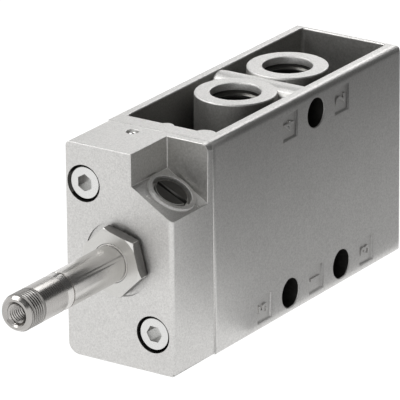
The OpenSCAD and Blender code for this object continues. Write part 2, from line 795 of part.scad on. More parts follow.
// One waist of the spool, with sloped shoulders
module waist(x0, x1) {
    slope = spool_r - waist_r;
    along_x(x0) rotate_extrude() polygon([[waist_r, slope], [waist_r, x1 - x0 - slope],
        [spool_r + over, x1 - x0 + over], [spool_r + over, -over]]);
}

// Each waist's edge lies half the travel short of a seal, and passes it by as much when moved
module spool() color("lightgray") {
    seal_x = [for (k = [-2.5:2.5]) k * chamber_pitch];
    difference() {
        along_x(x_spool) cylinder(h = x_spool_end - x_spool, r = spool_r - running_gap);
        for (k = [1, 3]) waist(seal_x[k] - spool_stroke / 2, seal_x[k + 1] - spool_stroke / 2);
        along_x(x_spring) cylinder(h = x_spool_end - x_spring + over, r = spring_pocket_r);
    }
}

module spool_seals() color("black") {
    for (k = [-2.5:2.5])
        ring_x(k * chamber_pitch - seal_w / 2 + seat_gap, seal_w - 2 * seat_gap,
            bore_r - seat_gap, spool_r + running_gap);
}

// Spacer between two seals: an inner gallery, a groove outside and a row of windows
module spacer(x) {
    w = chamber_pitch - seal_w;
    gallery = 1.4;
    web = 1.6;
    window_edge = 0.4;
    window_r = w / 2 - web - window_edge;
    windows = 8;
    difference() {
        ring_x(x - w / 2, w, bore_r - 2 * seat_gap, spool_r + gallery);
        ring_x(x - w / 2 + web, w - 2 * web, bore_r + over, bore_r - gallery);
        for (i = [0:windows - 1])
            translate([x, 0, axis_z]) rotate([360 / windows * (i + 0.5), 0, 0])
                cylinder(h = bore_r + over, r = window_r);
    }
}

module spacer_rings() color("ivory") {
    for (k = [-2:2]) spacer(k * chamber_pitch);
}

module guide_bushes() color("ivory") {
    ring_x(x_stack_front + seat_gap, front_bush_w - seat_gap, bore_r - 2 * seat_gap, spool_r + running_gap);
    ring_x(stack_half, rear_bush_w - seat_gap, bore_r - 2 * seat_gap, spool_r + running_gap);
}

module return_spring() color("lightgray") {
    along_x(x_spring + seat_gap)
        coil(x_stack_rear - x_spring - 2 * seat_gap, spring_mid_r, spring_wire, spring_turns, 18, 8);
}

module rear_plug() color("gray") {
    groove_w = 2 * (plug_seal_sec + groove_play);
    difference() {
        along_x(x_stack_rear) cylinder(h = plug_w - seat_gap, r = bore_r - running_gap);
        ring_x(x_stack_rear + (plug_w - groove_w) / 2, groove_w,
            bore_r + over, bore_r - running_gap - 2 * plug_seal_sec);
        along_x(x_plug_rear - pull_thread_deep) cylinder(h = pull_thread_deep + over, d = pull_thread_d);
    }
}

module plug_seal() color("black") {
    o_ring_x(x_stack_rear + plug_w / 2, bore_r - running_gap - plug_seal_sec, plug_seal_sec);
}

module retaining_ring() color("dimgray") {
    ring_deep = 1.6;
    ear_r = 1.6;
    ear_lap = 0.6;
    ear_in = bore_r - ring_deep - ear_r + ear_lap;
    ear_off = 1.9;
    ear_angle = asin(ear_off / ear_in);
    difference() {
        union() {
            ring_x(x_plug_rear, ring_w - seat_gap, ring_groove_r - seat_gap, bore_r - ring_deep);
            for (side = [-1, 1])
                along_x(x_plug_rear) rotate([0, 0, side * ear_angle]) translate([ear_in, 0, 0])
                    cylinder(h = ring_w - seat_gap, r = ear_r);
        }
        for (side = [-1, 1])
            along_x(x_plug_rear - over) rotate([0, 0, side * ear_angle]) translate([ear_in, 0, 0])
                cylinder(h = ring_w + 2 * over, r = ear_r / 2);
        along_x(x_plug_rear - over) translate([ear_in - ear_r, -ear_r / 2, 0])
            cube([bore_r, ear_r, ring_w + 2 * over]);
    }
}

valve_body();
pilot_head();
head_gasket();
head_screws();
armature_tube();
pole_piece();
tube_nut();
tube_seal();
armature();
armature_seals();
armature_spring();
pilot_seat();
override_spindle();
override_seal();
override_pin();
sealing_ball();
pilot_piston();
piston_seal();
spool();
spool_seals();
spacer_rings();
guide_bushes();
return_spring();
rear_plug();
plug_seal();
retaining_ring();
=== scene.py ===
import json
import math

import bmesh
import bpy
from mathutils import Matrix, Vector
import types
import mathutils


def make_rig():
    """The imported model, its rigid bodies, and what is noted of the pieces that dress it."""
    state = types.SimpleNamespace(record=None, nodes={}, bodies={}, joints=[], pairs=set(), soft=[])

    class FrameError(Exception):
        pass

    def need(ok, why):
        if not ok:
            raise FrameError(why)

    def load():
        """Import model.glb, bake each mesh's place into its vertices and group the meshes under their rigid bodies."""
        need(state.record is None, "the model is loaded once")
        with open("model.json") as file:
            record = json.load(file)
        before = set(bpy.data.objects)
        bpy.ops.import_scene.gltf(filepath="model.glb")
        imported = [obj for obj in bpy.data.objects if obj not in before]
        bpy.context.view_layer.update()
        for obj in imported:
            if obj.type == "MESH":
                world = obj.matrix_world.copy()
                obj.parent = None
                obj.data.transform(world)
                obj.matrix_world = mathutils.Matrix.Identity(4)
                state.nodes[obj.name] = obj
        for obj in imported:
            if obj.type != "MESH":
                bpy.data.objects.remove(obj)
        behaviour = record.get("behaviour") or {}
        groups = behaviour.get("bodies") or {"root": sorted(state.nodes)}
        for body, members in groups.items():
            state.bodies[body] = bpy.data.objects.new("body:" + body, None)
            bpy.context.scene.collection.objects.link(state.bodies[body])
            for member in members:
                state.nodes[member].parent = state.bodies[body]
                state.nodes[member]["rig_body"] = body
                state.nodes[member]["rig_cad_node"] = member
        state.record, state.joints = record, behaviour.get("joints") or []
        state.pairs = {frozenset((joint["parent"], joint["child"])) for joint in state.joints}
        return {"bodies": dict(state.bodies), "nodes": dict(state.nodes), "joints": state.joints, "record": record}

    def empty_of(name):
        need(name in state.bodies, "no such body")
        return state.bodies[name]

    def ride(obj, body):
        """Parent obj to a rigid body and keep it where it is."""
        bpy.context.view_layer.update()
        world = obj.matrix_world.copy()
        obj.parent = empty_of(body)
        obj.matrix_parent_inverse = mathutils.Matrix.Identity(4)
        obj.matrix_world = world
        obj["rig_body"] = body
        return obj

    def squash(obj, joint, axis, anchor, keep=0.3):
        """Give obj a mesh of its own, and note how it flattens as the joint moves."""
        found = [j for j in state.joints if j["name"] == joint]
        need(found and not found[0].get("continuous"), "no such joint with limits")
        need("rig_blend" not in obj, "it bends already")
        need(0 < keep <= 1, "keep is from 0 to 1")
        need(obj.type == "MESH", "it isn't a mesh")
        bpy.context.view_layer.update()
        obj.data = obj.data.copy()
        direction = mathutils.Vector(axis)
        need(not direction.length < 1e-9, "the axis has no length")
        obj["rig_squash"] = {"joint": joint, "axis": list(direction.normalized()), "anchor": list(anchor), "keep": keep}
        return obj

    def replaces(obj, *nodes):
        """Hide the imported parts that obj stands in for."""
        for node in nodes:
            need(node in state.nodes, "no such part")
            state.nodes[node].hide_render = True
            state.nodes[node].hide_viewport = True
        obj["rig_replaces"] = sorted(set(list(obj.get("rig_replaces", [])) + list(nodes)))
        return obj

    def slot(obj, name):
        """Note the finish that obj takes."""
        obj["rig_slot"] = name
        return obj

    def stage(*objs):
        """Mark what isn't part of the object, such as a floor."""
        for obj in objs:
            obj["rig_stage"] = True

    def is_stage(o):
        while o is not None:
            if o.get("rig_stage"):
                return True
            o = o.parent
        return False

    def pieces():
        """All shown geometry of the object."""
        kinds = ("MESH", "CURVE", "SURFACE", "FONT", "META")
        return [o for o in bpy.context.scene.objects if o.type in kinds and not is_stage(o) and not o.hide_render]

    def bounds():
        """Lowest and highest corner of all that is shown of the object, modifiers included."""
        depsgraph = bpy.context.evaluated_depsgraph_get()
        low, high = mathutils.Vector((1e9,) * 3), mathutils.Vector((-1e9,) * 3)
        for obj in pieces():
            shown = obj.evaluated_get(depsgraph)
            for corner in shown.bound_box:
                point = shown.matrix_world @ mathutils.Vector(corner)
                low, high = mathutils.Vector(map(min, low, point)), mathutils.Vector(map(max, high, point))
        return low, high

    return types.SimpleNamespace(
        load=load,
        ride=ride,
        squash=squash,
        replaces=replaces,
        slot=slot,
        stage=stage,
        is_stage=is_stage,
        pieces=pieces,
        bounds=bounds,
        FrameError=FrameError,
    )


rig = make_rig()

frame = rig.load()
cad_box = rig.bounds()

# Camera
# A long lens 1.3 m away looks down on the front left corner of the valve, so its edges
# run nearly parallel. It is made first.
MM = 0.001
azimuth, elevation, roll = math.radians(-56.183), math.radians(20.476), math.radians(-0.484)
aim = Vector((-31.47, -1.63, 33.75)) * MM
to_camera = Vector((math.sin(azimuth) * math.cos(elevation),
                    -math.cos(azimuth) * math.cos(elevation), math.sin(elevation)))
lens = bpy.data.cameras.new("camera")
lens.lens = 465.2
lens.sensor_width = 36
lens.clip_start, lens.clip_end = 0.1, 20
camera = bpy.data.objects.new("camera", lens)
bpy.context.scene.collection.objects.link(camera)
camera.matrix_world = (Matrix.Translation(aim + to_camera * 1.31168)
                       @ Matrix.Rotation(azimuth, 4, "Z")
                       @ Matrix.Rotation(math.pi / 2 - elevation, 4, "X")
                       @ Matrix.Rotation(roll, 4, "Z"))
bpy.context.scene.camera = camera


# Valve body
# The body is pressure die cast in an aluminium alloy: one block with an open pocket round
# two port bosses, a cross tube and the crown of the main bore. Cast edges are round, the
# skin is blasted to an even satin grey, and the holes and the joint face are machined.
def linear(code):
    """sRGB hex to the linear colour that a shader socket takes."""
    parts = [int(code[i:i + 2], 16) / 255 for i in (0, 2, 4)]
    return [c / 12.92 if c <= 0.04045 else ((c + 0.055) / 1.055) ** 2.4 for c in parts] + [1]


def put(tree, kind, settings=None, **links):
    """Adds a node, sets its properties and sockets, and links its inputs to other outputs."""
    node = tree.nodes.new(kind)
    for key, value in (settings or {}).items():
        if isinstance(key, str) and hasattr(node, key):
            setattr(node, key, value)
        else:
            node.inputs[key].default_value = value
    for key, source in links.items():
        tree.links.new(node.inputs[key.replace("_", " ")], source)
    return node


def new_material(name, **sockets):
    """A material with a Principled shader, and the shader's sockets that stay even."""
    material = bpy.data.materials.new(name)
    material.use_nodes = True
    tree = material.node_tree
    tree.nodes.clear()
    shader = put(tree, "ShaderNodeBsdfPrincipled",
                 {key.replace("_", " "): value for key, value in sockets.items()})
    put(tree, "ShaderNodeOutputMaterial", Surface=shader.outputs["BSDF"])
    return material, tree, shader


def two_tones(tree, shader, factor, dark, light):
    """The surface's colour wanders between two sRGB tones."""
    tone = put(tree, "ShaderNodeMix", {"data_type": "RGBA", 6: linear(dark), 7: linear(light)},
               Factor=factor)
    tree.links.new(shader.inputs["Base Color"], tone.outputs[2])


def dents(tree, shader, height, depth_mm, strength=0.6):
    """The pattern dents the surface to that depth."""
    bump = put(tree, "ShaderNodeBump", {"Strength": strength, "Distance": depth_mm * MM}, Height=height)
    tree.links.new(shader.inputs["Normal"], bump.outputs["Normal"])


def wandering_roughness(tree, shader, factor, low, high):
    rough = put(tree, "ShaderNodeMapRange", {"To Min": low, "To Max": high}, Value=factor)
    tree.links.new(shader.inputs["Roughness"], rough.outputs["Result"])


# Die-cast aluminium, glass bead blasted: a soft, bright grey, with a grain of about 0.4 mm
# over clouds of gloss some 15 mm wide.
cast_aluminium, tree, shader = new_material("cast_aluminium_bead_blasted", Metallic=1.0)
place = put(tree, "ShaderNodeTexCoord").outputs["Object"]
grain = put(tree, "ShaderNodeTexNoise", {"Scale": 1000 / 0.4, "Detail": 3.0, "Roughness": 0.7}, Vector=place)
cloud = put(tree, "ShaderNodeTexNoise", {"Scale": 1000 / 15, "Detail": 2.0}, Vector=place)
two_tones(tree, shader, grain.outputs["Fac"], "aeadab", "f4f3f1")
wandering_roughness(tree, shader, cloud.outputs["Fac"], 0.42, 0.54)
dents(tree, shader, grain.outputs["Fac"], 0.08)


def node_mesh(node):
    """A CAD node's mesh, merged and with its flat faces whole again."""
    bm = bmesh.new()
    bm.from_mesh(frame["nodes"][node].data)
    bmesh.ops.remove_doubles(bm, verts=bm.verts, dist=1e-6)
    bmesh.ops.dissolve_limit(bm, angle_limit=math.radians(0.6), verts=bm.verts, edges=bm.edges)
    return bm


def round_edges(bm, width_mm, segments, sharper, pick=lambda p: True, hollows=False):
    """Bevels the outer edges, or inner ones too, sharper than an angle and picked by middle in mm."""
    edges = [e for e in bm.edges if len(e.link_faces) == 2 and (e.is_convex or hollows)
             and e.calc_face_angle() > math.radians(sharper)
             and pick((e.verts[0].co + e.verts[1].co) / (2 * MM))]
    bmesh.ops.bevel(bm, geom=edges, offset=width_mm * MM, offset_type="OFFSET", affect="EDGES",
                    segments=segments, profile=0.5, material=-1, clamp_overlap=False,
                    loop_slide=True)


def piece(name, bm, body, slot, *materials, smooth=40, stands_for=()):
    """Turns a bmesh into a piece of the object that rides on a body."""
    mesh = bpy.data.meshes.new(name)
    bm.to_mesh(mesh)
    bm.free()
    for material in materials:
        mesh.materials.append(material)
    mesh.shade_smooth()
    mesh.set_sharp_from_angle(angle=math.radians(smooth))
    made = bpy.data.objects.new(name, mesh)
    bpy.context.scene.collection.objects.link(made)
    even = made.modifiers.new("even_flats", "WEIGHTED_NORMAL")
    even.keep_sharp = True
    even.weight = 100
    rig.ride(made, body)
    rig.slot(made, slot)
    if stands_for:
        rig.replaces(made, *stands_for)
    return made


def near(p, centre, radius, axes):
    """True where p lies within radius of centre, measured over the given axes."""
    return math.dist([p[a] for a in axes], centre) < radius


label_y, plain_y, body_top = -16.6, 15.4, 57.0
joint_x, axis_z = -47.325, 28.5
fields = {"4": (-12.25, 50.7), "2": (12.25, 50.7), "5": (-24.5, 5.2), "1": (0.0, 5.2), "3": (24.5, 5.2)}
ports = {"4": (-12.25, body_top, 1), "2": (12.25, body_top, 1),
         "5": (-24.5, 0.0, -1), "1": (0.0, 0.0, -1), "3": (24.5, 0.0, -1)}


def in_field(p):
    return p.y < label_y + 0.7 and any(abs(p.x - x) < 3.3 and abs(p.z - z) < 3.5
                                       for x, z in fields.values())


def at_port(p):
    return any(near(p, (x, 0), 7.2, (0, 1)) and abs(p.z - z) < 14 for x, z, up in ports.values())


def in_mounting_hole(p, margin):
    return any(near(p, c, 3.9 + margin, (0, 2)) for c in ((0, 50.7), (-12.25, 5.2), (12.25, 5.2)))


def machined(p):
    """Ports, mounting holes, main bore and the inside of the joint face stay crisp."""
    bore = near(p, (0, axis_z), 12.6 if abs(p.x) > 30 else 11.4, (1, 2))
    return at_port(p) or in_mounting_hole(p, 0.7) or bore or p.x < joint_x + 0.6


# The pocket's walls take a darker copy of the casting: partly the duller skin of the die,
# which the blast doesn't reach well, and partly painted shade. The mounting holes and the
# ports' walls take a dark copy: painted shade. Both have the casting's grain.
pocket_skin_and_painted_shade, tree, shader = new_material("cast_aluminium_die_skin_and_painted_shade", Metallic=1.0)
place = put(tree, "ShaderNodeTexCoord").outputs["Object"]
grain = put(tree, "ShaderNodeTexNoise", {"Scale": 1000 / 0.5, "Detail": 3.0}, Vector=place)
two_tones(tree, shader, grain.outputs["Fac"], "94938f", "cecdcb")
wandering_roughness(tree, shader, grain.outputs["Fac"], 0.46, 0.58)
dents(tree, shader, grain.outputs["Fac"], 0.05)
# A dark copy of the casting, for the insides of holes and gaps: painted shade.
hole_painted_shade, tree, shader = new_material("cast_aluminium_hole_painted_shade", Metallic=1.0)
place = put(tree, "ShaderNodeTexCoord").outputs["Object"]
shade_mottle = put(tree, "ShaderNodeTexNoise", {"Scale": 1000 / 1.2, "Detail": 3.0}, Vector=place)
two_tones(tree, shader, shade_mottle.outputs["Fac"], "4c4b49", "605f5c")
wandering_roughness(tree, shader, shade_mottle.outputs["Fac"], 0.5, 0.62)
dents(tree, shader, shade_mottle.outputs["Fac"], 0.03)

body_mesh = node_mesh("valve_body")
round_edges(body_mesh, 0.4, 3, 35, lambda p: not machined(p) and not in_field(p))
round_edges(body_mesh, 0.3, 1, 35, in_field, hollows=True)
round_edges(body_mesh, 0.35, 3, 35, lambda p: in_mounting_hole(p, 0.1) and not label_y + 0.1 < p.y < plain_y - 0.1)


def in_port(p):
    return at_port(p) and near(p, (round(p.x / 12.25) * 12.25, 0), 6.8, (0, 1))


# The ports' walls are cut where the plain lead-in, 1.9 mm deep, meets the thread.
for height in (1.9, body_top - 1.9):
    walls = [f for f in body_mesh.faces if abs(f.normal.z) < 0.1 and in_port(f.calc_center_median() / MM)]
    around = {part for f in walls for part in (*f.verts, *f.edges)}
    bmesh.ops.bisect_plane(body_mesh, geom=walls + list(around), dist=1e-6,
                           plane_co=(0, 0, height * MM), plane_no=(0, 0, 1))
for face in body_mesh.faces:
    p = face.calc_center_median() / MM
    # The ports' threaded walls and the mounting holes take the dark copy: painted shade.
    if in_port(p) and 1.9 < p.z < body_top - 1.9 or \
            in_mounting_hole(p, 0.2) and label_y + 0.4 < p.y < plain_y - 0.4:
        face.material_index = 2
    # The pocket's faces take the darker copy: die skin and painted shade.
    elif not in_port(p) and -42.2 < p.x < 39.8 and -12.7 < p.y < 13.2 and \
            35.8 < p.z < (56.55 if abs(face.normal.z) < 0.3 else 55.6):
        face.material_index = 1
piece("valve_body_casting", body_mesh, "valve", "cast_aluminium", cast_aluminium, pocket_skin_and_painted_shade, hole_painted_shade,
      stands_for=["valve_body"])


# Port threads
# Each port carries a G1/4 pipe thread, 19 turns to the inch, tapped into the casting. The
# CAD bore is the thread's outside diameter, and the ridges stand in from it.
def thread_ridge(bm, start, axis, root_r, crest_r, pitch, length, foot, land, steps=40):
    """A right-handed ridge round an axis, from root_r to crest_r in mm, that fades in and out. Its
    crest takes the second material."""
    turn = Vector((0, 0, 1)).rotation_difference(Vector(axis)).to_matrix()
    count = round(length / pitch * steps)
    rows = []
    for i in range(count + 1):
        a = 2 * math.pi * i / steps
        rise = min(1, 3 * i / steps + 0.05, 3 * (count - i) / steps + 0.05)
        crest = root_r + (crest_r - root_r) * rise
        rows.append([bm.verts.new((Vector(start) + turn @ Vector((r * math.cos(a), r * math.sin(a),
                                                                 pitch * i / steps + z))) * MM)
                     for r, z in ((root_r, -foot / 2), (crest, -land / 2), (crest, land / 2), (root_r, foot / 2))])
    faces = [bm.faces.new(rows[0]), bm.faces.new(rows[-1][::-1])]
    for here, there in zip(rows, rows[1:]):
        faces += [bm.faces.new((here[k], there[k], there[k - 3], here[k - 3])) for k in range(4)]
        faces[-3].material_index = 1
    bmesh.ops.recalc_face_normals(bm, faces=faces)


def tapped(name, dark, light):
    """Tapped metal: smoother than the blasted skin, with fine scratches 0.1 mm wide."""
    material, tree, shader = new_material(name, Metallic=1.0)
    place = put(tree, "ShaderNodeTexCoord").outputs["Object"]
    scratch = put(tree, "ShaderNodeTexNoise", {"Scale": 1000 / 0.1, "Detail": 2.0}, Vector=place)
    two_tones(tree, shader, scratch.outputs["Fac"], dark, light)
    wandering_roughness(tree, shader, scratch.outputs["Fac"], 0.24, 0.36)
    dents(tree, shader, scratch.outputs["Fac"], 0.01)
    return material


# The thread's flanks are painted dark as shade, and its crests painted light as a highlight.
tapped_flanks_painted_shade = tapped("tapped_aluminium_flanks_painted_shade", "5f5e5b", "777673")
tapped_crests_painted_highlight = tapped("tapped_aluminium_crests_painted_highlight", "d2d1cf", "e6e5e3")

threads = bmesh.new()
for x, mouth_z, up in ports.values():
    thread_ridge(threads, (x, 0, mouth_z - up * 11.3), (0, 0, up), 6.66, 5.8, 1.337, 8.76, 1.25, 0.3, 64)
piece("port_threads", threads, "valve", "cast_aluminium", tapped_flanks_painted_shade, tapped_crests_painted_highlight, smooth=20)


# Port numbers
# The die leaves a raised mark in each label field, to be read with the rear of the valve
# down. The numbers are the usual ones: 1 supply, 2 and 4 working lines, 3 and 5 exhausts.
def raised_text(bm, words, height_mm, relief_mm, place_matrix):
    """Adds words as a solid mesh whose back is sunk 0.1 mm under the surface at the matrix. Its
    edges are rounded by a quarter of the relief."""
    soft = relief_mm / 4 * MM
    letters = bpy.data.curves.new("words", "FONT")
    letters.body = words
    letters.align_x, letters.align_y = "CENTER", "CENTER"
    letters.size = height_mm * MM / 0.7
    letters.extrude = (relief_mm + 0.1) / 2 * MM - soft
    letters.bevel_depth, letters.bevel_resolution = soft, 2
    letters.resolution_u = 6
    holder = bpy.data.objects.new("words", letters)
    mesh = bpy.data.meshes.new_from_object(holder)
    mesh.transform(place_matrix @ Matrix.Translation((0, 0, (relief_mm - 0.1) / 2 * MM)))
    bm.from_mesh(mesh)
    bpy.data.objects.remove(holder)
    bpy.data.curves.remove(letters)
    bpy.data.meshes.remove(mesh)


numbers = bmesh.new()
for digit, (x, z) in fields.items():
    raised_text(numbers, digit, 4.1, 0.45, Matrix.Translation(Vector((x, label_y + 0.6, z)) * MM)
                @ Matrix.Rotation(math.pi / 2, 4, "X") @ Matrix.Rotation(math.pi / 2, 4, "Z"))
bmesh.ops.remove_doubles(numbers, verts=numbers.verts, dist=1e-6)
bmesh.ops.recalc_face_normals(numbers, faces=numbers.faces)
piece("port_numbers", numbers, "valve", "cast_aluminium", cast_aluminium)

# Pilot head
# A second casting of the same alloy carries the solenoid's tube and the manual override.
# It is screwed to the front of the body with a flat gasket between.
override_x = -56.525
tilt = math.radians(30.5)
on_slope = (Matrix.Translation(Vector((override_x, 0, axis_z)) * MM) @ Matrix.Rotation(tilt, 4, "X"))


def machined_on_head(p):
    tube = near(p, (0, axis_z), 10.2, (1, 2))
    screws = any(near(p, c, 5.2, (1, 2)) for c in ((10.2, 46.6), (-10.2, 10.4)))
    return tube or screws or p.x > joint_x - 0.8


def on_notch_floor(p):
    """The collar, and the inner and outer edges of the floor round it, have little room."""
    out = on_slope.inverted() @ (p * MM) / MM
    return p.y < -3.9 and p.x < -49.5 and (abs(out.z - 19.35) < 0.1 or
                                          out.z > 17 and math.hypot(out.x, out.y) < 6.9)


# The notch's walls take the pocket's darker copy: painted shade. Its floor takes a lighter,
# less metallic and rougher copy of the casting, so that it catches the lamps: painted light.
notch_floor_painted_light, tree, shader = new_material("cast_aluminium_painted_light_floor", Metallic=0.4)
place = put(tree, "ShaderNodeTexCoord").outputs["Object"]
grain = put(tree, "ShaderNodeTexNoise", {"Scale": 1000 / 0.4, "Detail": 3.0, "Roughness": 0.7}, Vector=place)
two_tones(tree, shader, grain.outputs["Fac"], "b9b8b6", "f6f5f3")
wandering_roughness(tree, shader, grain.outputs["Fac"], 0.5, 0.62)
dents(tree, shader, grain.outputs["Fac"], 0.08)

head_mesh = node_mesh("pilot_head")
round_edges(head_mesh, 0.25, 3, 35, lambda p: not machined_on_head(p) and not on_notch_floor(p))
round_edges(head_mesh, 0.12, 2, 35, on_notch_floor, hollows=True)
round_edges(head_mesh, 0.2, 3, 35, lambda p: p.y < -3.9 and -65 < p.x < -49.5 and not on_notch_floor(p),
            hollows=True)
for face in head_mesh.faces:
    p = face.calc_center_median() / MM
    # The screws' counterbores and the walls round the nut's seat take the dark copy: painted shade.
    face.material_index = p.x > -65.6 and any(near(p, c, 5, (1, 2)) for c in ((10.2, 46.6), (-10.2, 10.4)))
    out = on_slope.inverted() @ (p * MM) / MM
    if p.x < -65 and abs(face.normal.x) < 0.3 and 8.2 < math.dist((p.y, p.z), (0, axis_z)) < 12.5:
        face.material_index = 1
    # The notch floor takes the lighter copy: painted light.
    elif p.y < -3.9 and -65.8 < p.x < -49.6 and 19 < out.z < 20.2 and math.hypot(out.x, out.y) > 4.9:
        face.material_index = 2
    # The notch's walls take the pocket's darker copy: painted shade.
    elif p.y < -3.9 and (face.normal.y < -0.9 and abs(p.y + 4.1) < 0.3
                         or face.normal.x < -0.9 and abs(p.x + 49.7) < 0.3):
        face.material_index = 3
piece("pilot_head_casting", head_mesh, "valve", "cast_aluminium", cast_aluminium, hole_painted_shade, notch_floor_painted_light,
      pocket_skin_and_painted_shade, stands_for=["pilot_head"])

# The two ends of the override's turn are marked beside its collar.
marks = bmesh.new()
for mark, x, y in (("0", -7.6, 1.8), ("1", 3.2, -6.55)):
    raised_text(marks, mark, 1.2, 0.2, on_slope @ Matrix.Translation(Vector((x, y, 19.35)) * MM))
bmesh.ops.remove_doubles(marks, verts=marks.verts, dist=1e-6)
bmesh.ops.recalc_face_normals(marks, faces=marks.faces)
piece("override_marks", marks, "valve", "cast_aluminium", cast_aluminium)


# Head screws
# Two M5 socket head cap screws, cold formed in steel and zinc plated, clamp the head and
# its gasket to the body. Their heads lie half a millimetre deep in counterbores.
def plated_metal(name, dark, light, low, high, speck_mm):
    """Plated steel: specks of tone in a bright film, over clouds of 3 mm in the gloss."""
    material, tree, shader = new_material(name, Metallic=1.0)
    place = put(tree, "ShaderNodeTexCoord").outputs["Object"]
    speck = put(tree, "ShaderNodeTexNoise", {"Scale": 1000 / speck_mm, "Detail": 3.0}, Vector=place)
    cloud = put(tree, "ShaderNodeTexNoise", {"Scale": 1000 / 3, "Detail": 2.0}, Vector=place)
    two_tones(tree, shader, speck.outputs["Fac"], dark, light)
    wandering_roughness(tree, shader, cloud.outputs["Fac"], low, high)
    dents(tree, shader, speck.outputs["Fac"], 0.01)
    return material


# Zinc plated steel: pale and a little milky.
zinc_steel = plated_metal("zinc_plated_steel", "cfcfce", "e4e4e2", 0.22, 0.34, 0.3)

# The hexagon sockets' walls that don't face up take a darker copy of the plating: painted shade.
socket_painted_shade = plated_metal("zinc_plated_steel_socket_painted_shade", "72716f", "8a8987", 0.3, 0.42, 0.3)

screws_mesh = node_mesh("head_screws")
round_edges(screws_mesh, 0.06, 2, 35)
for face in screws_mesh.faces:
    p = face.calc_center_median() / MM
    # Socket walls facing down or sideways take the dark copy: painted shade.
    face.material_index = (-65.2 < p.x < -62.9 and face.normal.z < 0.3
                           and any(near(p, c, 2.4, (1, 2)) for c in ((10.2, 46.6), (-10.2, 10.4))))
piece("socket_head_screws", screws_mesh, "valve", "zinc_steel", zinc_steel, socket_painted_shade,
      stands_for=["head_screws"])

# Tube nut
# A hexagon nut of nickel plated steel, chamfered on both faces, screws into the head over
# the tube and clamps the tube's flange on its seal. Its rear chamfer is painted dark: painted shade.
nickelled_steel = plated_metal("nickel_plated_steel", "bfbebb", "d6d5d2", 0.26, 0.38, 0.25)

# The flats take a darker, duller copy of the plating: partly the dull skin of the drawn
# hexagon bar under the thin plating, and partly painted shade, which also darkens their
# reflection in the head beside the nut.
drawn_skin_and_painted_shade = plated_metal("nickel_plated_drawn_skin_and_painted_shade", "70706e", "918f8d", 0.36, 0.48, 0.25)

nut_mesh = node_mesh("tube_nut")
bmesh.ops.bisect_plane(nut_mesh, geom=nut_mesh.verts[:] + nut_mesh.edges[:] + nut_mesh.faces[:], dist=1e-6,
                       plane_co=(-66.3 * MM, 0, 0), plane_no=(1, 0, 0))
for corner in nut_mesh.verts:
    if -66 < corner.co.x / MM < -65 and not near(corner.co / MM, (0, axis_z), 7.6, (1, 2)):
        corner.co.y *= 0.93
        corner.co.z = axis_z * MM + (corner.co.z - axis_z * MM) * 0.93
round_edges(nut_mesh, 0.1, 2, 45, lambda p: p.x < -66.5 and not near(p, (0, axis_z), 9.0, (1, 2)))
for face in nut_mesh.faces:
    p = face.calc_center_median() / MM
    # The flats take the darker copy: drawn skin and painted shade.
    face.material_index = (abs(face.normal.x) < 0.3 and face.calc_area() > 2e-6
                           and not near(p, (0, axis_z), 7.6, (1, 2)))
    # The rear chamfer strip takes the dark copy of the casting: painted shade.
    if -66.3 < p.x < -65.4 and not near(p, (0, axis_z), 7.2, (1, 2)):
        face.material_index = 2
piece("tube_hexagon_nut", nut_mesh, "valve", "nickelled_steel", nickelled_steel, drawn_skin_and_painted_shade, hole_painted_shade,
      smooth=20, stands_for=["tube_nut"])


# Armature tube
# A thin tube of non-magnetic stainless steel, turned and polished. Its end is rolled into
# a groove of the pole piece, which leaves the crimp line.
def turned_metal(name, dark, light, low, high, line_mm):
    """Turned metal: tool lines round the X axis, line_mm apart, that vary tone and gloss."""
    material, tree, shader = new_material(name, Metallic=1.0)
    place = put(tree, "ShaderNodeTexCoord").outputs["Object"]
    stretch = put(tree, "ShaderNodeMapping", {"Scale": (1000 / line_mm, 25, 25)}, Vector=place)
    lines = put(tree, "ShaderNodeTexNoise", {"Scale": 1.0, "Detail": 3.0}, Vector=stretch.outputs["Vector"])
    two_tones(tree, shader, lines.outputs["Fac"], dark, light)
    wandering_roughness(tree, shader, lines.outputs["Fac"], low, high)
    dents(tree, shader, lines.outputs["Fac"], 0.004)
    return material


# Stainless steel, fine turned: lines 0.15 mm apart.
stainless_steel = turned_metal("stainless_steel_turned", "bfbdba", "dedcd9", 0.2, 0.29, 0.15)

tube_mesh = node_mesh("armature_tube")
round_edges(tube_mesh, 0.12, 2, 35, lambda p: abs(p.x + 91.6) > 1)
for corner in tube_mesh.verts:
    taper = 1 - 0.06 * max(0, -91.83 - corner.co.x / MM) / 2.3
    corner.co.y *= taper
    corner.co.z = axis_z * MM + (corner.co.z - axis_z * MM) * taper
piece("stainless_tube", tube_mesh, "valve", "stainless_steel", stainless_steel, stands_for=["armature_tube"])


# Pole piece
# The fixed core is turned from magnetic stainless bar and closes the tube. Its outer end
# has a fine thread for the coil's nut and a tapped M5 hole for the pilot's exhaust air.
def turned(profile, steps=96):
    """Spins a closed profile of (x, radius) in mm round the valve's axis."""
    bm = bmesh.new()
    loop = [bm.verts.new(Vector((x, 0, axis_z + r)) * MM) for x, r in profile]
    edges = [bm.edges.new((a, b)) for a, b in zip(loop, loop[1:] + loop[:1])]
    bmesh.ops.spin(bm, geom=loop + edges, cent=(0, 0, axis_z * MM), axis=(1, 0, 0),
                   angle=2 * math.pi, steps=steps, use_merge=True)
    bmesh.ops.remove_doubles(bm, verts=bm.verts, dist=1e-6)
    bmesh.ops.recalc_face_normals(bm, faces=bm.faces)
    return bm


